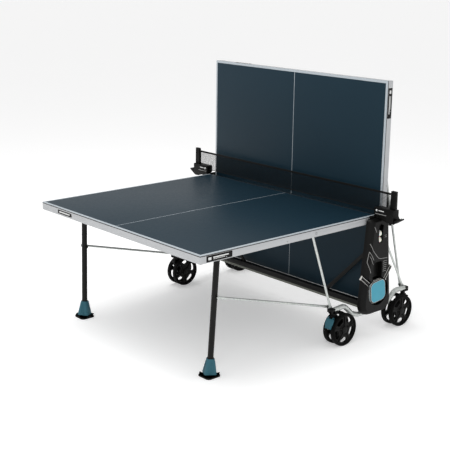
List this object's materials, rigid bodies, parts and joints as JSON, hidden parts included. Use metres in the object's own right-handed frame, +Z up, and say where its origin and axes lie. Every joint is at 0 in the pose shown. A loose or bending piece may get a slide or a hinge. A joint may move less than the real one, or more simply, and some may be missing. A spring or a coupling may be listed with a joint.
{
  "type": "ping pong table",
  "caption": "Outdoor folding table-tennis table on a rolling chassis: front half down in play, rear half folded up behind the net, bats and balls stored in a side cover.",
  "frame": {"origin": "on the floor, at the middle of the whole table's width and of its length as shown (front half down, rear half folded)", "axes": "+Z up, +X to the right along the net, +Y from the front half towards the folded rear half"},
  "size_m": [1.93, 1.7444, 1.553],
  "materials": {
    "playing_blue": "fine matt, slight sheen",
    "rail_grey": "satin powder coat",
    "zinc_steel": "galvanised, satin",
    "black_steel": "satin powder coat",
    "black_plastic": "fine moulded grain",
    "teal_plastic": "fine moulded grain",
    "ball_white": "matt",
    "bat_teal": "matt",
    "net_black": "woven"
  },
  "bodies": {
    "chassis": {"cross_beam": "black_steel", "lower_rail": "zinc_steel", "left_upright": "black_steel", "right_upright": "black_steel", "braces": "black_steel", "left_wheel_bar": "zinc_steel", "right_wheel_bar": "zinc_steel", "left_pod": "black_plastic", "right_pod": "black_plastic", "left_net_arm": "black_plastic", "right_net_arm": "black_plastic", "left_net_post": "black_plastic", "right_net_post": "black_plastic", "net_mesh": "net_black", "net_tape": "net_black", "net_cord": "net_black"},
    "left_net_lever": {"left_net_lever": "black_plastic"},
    "right_net_lever": {"right_net_lever": "black_plastic"},
    "balls": {"balls": "ball_white"},
    "bats": {"inner_bat": "bat_teal", "outer_bat": "bat_teal"},
    "front_carriage": {"front_carriages": "black_steel"},
    "front_top": {"front_surface": "playing_blue", "front_end_rail": "rail_grey", "front_inner_rail": "rail_grey", "front_side_rails": "rail_grey", "front_ribs": "black_steel", "front_leg_hinges": "black_steel"},
    "front_struts": {"front_struts": "zinc_steel"},
    "front_legs": {"front_left_leg": "black_steel", "front_right_leg": "black_steel", "front_leg_sleeves": "teal_plastic"},
    "front_rods": {"front_link_rods": "zinc_steel"},
    "front_left_foot": {"front_left_foot": "black_plastic"},
    "front_left_caster": {"front_left_fork": "black_plastic"},
    "front_left_wheel_pair": {"front_left_wheels": "black_plastic"},
    "front_right_foot": {"front_right_foot": "black_plastic"},
    "front_right_caster": {"front_right_fork": "black_plastic"},
    "front_right_wheel_pair": {"front_right_wheels": "black_plastic"},
    "rear_carriage": {"rear_carriages": "black_steel"},
    "rear_top": {"rear_surface": "playing_blue", "rear_end_rail": "rail_grey", "rear_inner_rail": "rail_grey", "rear_side_rails": "rail_grey", "rear_ribs": "black_steel", "rear_leg_hinges": "black_steel"},
    "rear_struts": {"rear_struts": "zinc_steel"},
    "rear_legs": {"rear_left_leg": "black_steel", "rear_right_leg": "black_steel", "rear_leg_sleeves": "teal_plastic"},
    "rear_rods": {"rear_link_rods": "zinc_steel"},
    "rear_left_foot": {"rear_left_foot": "black_plastic"},
    "rear_left_caster": {"rear_left_fork": "black_plastic"},
    "rear_left_wheel_pair": {"rear_left_wheels": "black_plastic"},
    "rear_right_foot": {"rear_right_foot": "black_plastic"},
    "rear_right_caster": {"rear_right_fork": "black_plastic"},
    "rear_right_wheel_pair": {"rear_right_wheels": "black_plastic"},
    "front_right_brake": {"front_right_brake": "teal_plastic"},
    "rear_left_brake": {"rear_left_brake": "teal_plastic"}
  },
  "joints": [
    {"name": "front_carriage_slide", "type": "slide", "parent": "chassis", "child": "front_carriage", "axis": [0, -0.0623, -0.9981], "range_m": [0, 0.514]},
    {"name": "front_fold", "type": "hinge", "parent": "front_carriage", "child": "front_top", "pos_m": [0, 0.45782, 0.736], "axis": [-1, 0, 0], "range_deg": [0, 90]},
    {"name": "front_strut_turn", "type": "hinge", "parent": "front_top", "child": "front_struts", "pos_m": [0, -0.01718, 0.734], "axis": [1, 0, 0], "range_deg": [0, 40.29]},
    {"name": "front_leg_turn", "type": "hinge", "parent": "front_top", "child": "front_legs", "pos_m": [0, -0.63918, 0.725], "axis": [1, 0, 0], "range_deg": [0, 73.66]},
    {"name": "front_rod_turn", "type": "hinge", "parent": "chassis", "child": "front_rods", "pos_m": [0, 0.16446, 0.24], "axis": [-1, 0, 0], "range_deg": [0, 85.9]},
    {"name": "front_left_foot_screw", "type": "slide", "parent": "front_legs", "child": "front_left_foot", "axis": [0, 0, -1], "range_m": [0, 0.008]},
    {"name": "front_right_foot_screw", "type": "slide", "parent": "front_legs", "child": "front_right_foot", "axis": [0, 0, -1], "range_m": [0, 0.008]},
    {"name": "rear_carriage_slide", "type": "slide", "parent": "chassis", "child": "rear_carriage", "axis": [0, -0.0623, 0.9981], "range_m": [0, 0.514]},
    {"name": "rear_fold", "type": "hinge", "parent": "rear_carriage", "child": "rear_top", "pos_m": [0, 0.56982, 0.223], "axis": [-1, 0, 0], "range_deg": [0, 90]},
    {"name": "rear_strut_turn", "type": "hinge", "parent": "rear_top", "child": "rear_struts", "pos_m": [0, 0.57182, 0.698], "axis": [1, 0, 0], "range_deg": [0, 40.29]},
    {"name": "rear_leg_turn", "type": "hinge", "parent": "rear_top", "child": "rear_legs", "pos_m": [0, 0.58082, 1.32], "axis": [1, 0, 0], "range_deg": [0, 73.66]},
    {"name": "rear_rod_turn", "type": "hinge", "parent": "chassis", "child": "rear_rods", "pos_m": [0, 0.83118, 0.24], "axis": [-1, 0, 0], "range_deg": [0, 85.9]},
    {"name": "rear_left_foot_screw", "type": "slide", "parent": "rear_legs", "child": "rear_left_foot", "axis": [0, 0.2814, -0.9596], "range_m": [0, 0.008]},
    {"name": "rear_right_foot_screw", "type": "slide", "parent": "rear_legs", "child": "rear_right_foot", "axis": [0, 0.2814, -0.9596], "range_m": [0, 0.008]},
    {"name": "front_left_swivel", "type": "hinge", "parent": "chassis", "child": "front_left_caster", "pos_m": [-0.75, 0.17946, 0.2], "axis": [0, 0, 1], "continuous": true},
    {"name": "front_left_roll", "type": "hinge", "parent": "front_left_caster", "child": "front_left_wheel_pair", "pos_m": [-0.75, 0.23246, 0.1], "axis": [1, 0, 0], "continuous": true},
    {"name": "front_right_swivel", "type": "hinge", "parent": "chassis", "child": "front_right_caster", "pos_m": [0.75, 0.17946, 0.2], "axis": [0, 0, 1], "continuous": true},
    {"name": "front_right_roll", "type": "hinge", "parent": "front_right_caster", "child": "front_right_wheel_pair", "pos_m": [0.75, 0.23246, 0.1], "axis": [1, 0, 0], "continuous": true},
    {"name": "rear_left_swivel", "type": "hinge", "parent": "chassis", "child": "rear_left_caster", "pos_m": [-0.75, 0.81618, 0.2], "axis": [0, 0, 1], "continuous": true},
    {"name": "rear_left_roll", "type": "hinge", "parent": "rear_left_caster", "child": "rear_left_wheel_pair", "pos_m": [-0.75, 0.76318, 0.1], "axis": [1, 0, 0], "continuous": true},
    {"name": "rear_right_swivel", "type": "hinge", "parent": "chassis", "child": "rear_right_caster", "pos_m": [0.75, 0.81618, 0.2], "axis": [0, 0, 1], "continuous": true},
    {"name": "rear_right_roll", "type": "hinge", "parent": "rear_right_caster", "child": "rear_right_wheel_pair", "pos_m": [0.75, 0.76318, 0.1], "axis": [1, 0, 0], "continuous": true},
    {"name": "front_right_brake_lift", "type": "hinge", "parent": "front_right_caster", "child": "front_right_brake", "pos_m": [0.75, 0.15398, 0.17849], "axis": [-1, 0, 0], "range_deg": [0, 25]},
    {"name": "rear_left_brake_lift", "type": "hinge", "parent": "rear_left_caster", "child": "rear_left_brake", "pos_m": [-0.75, 0.84167, 0.17849], "axis": [1, 0, 0], "range_deg": [0, 25]},
    {"name": "right_net_lever_turn", "type": "hinge", "parent": "chassis", "child": "right_net_lever", "pos_m": [0.881, 0.49782, 0.744], "axis": [0, 1, 0], "range_deg": [0, 45]},
    {"name": "left_net_lever_turn", "type": "hinge", "parent": "chassis", "child": "left_net_lever", "pos_m": [-0.881, 0.49782, 0.744], "axis": [0, -1, 0], "range_deg": [0, 45]},
    {"name": "balls_lift", "type": "slide", "parent": "chassis", "child": "balls", "axis": [0, 0, 1], "range_m": [0, 0.038]},
    {"name": "bats_out", "type": "slide", "parent": "chassis", "child": "bats", "axis": [1, 0, 0], "range_m": [0, 0.12]}
  ],
  "couplings": [
    {"joint": "front_carriage_slide", "follows": "front_fold", "m_per_rad": 0.32722},
    {"joint": "front_strut_turn", "follows": "front_fold", "ratio": 0.44766},
    {"joint": "front_leg_turn", "follows": "front_fold", "ratio": 0.81842},
    {"joint": "front_rod_turn", "follows": "front_fold", "ratio": 0.95448},
    {"joint": "rear_carriage_slide", "follows": "rear_fold", "m_per_rad": 0.32722},
    {"joint": "rear_strut_turn", "follows": "rear_fold", "ratio": 0.44766},
    {"joint": "rear_leg_turn", "follows": "rear_fold", "ratio": 0.81842},
    {"joint": "rear_rod_turn", "follows": "rear_fold", "ratio": 0.95448}
  ]
}
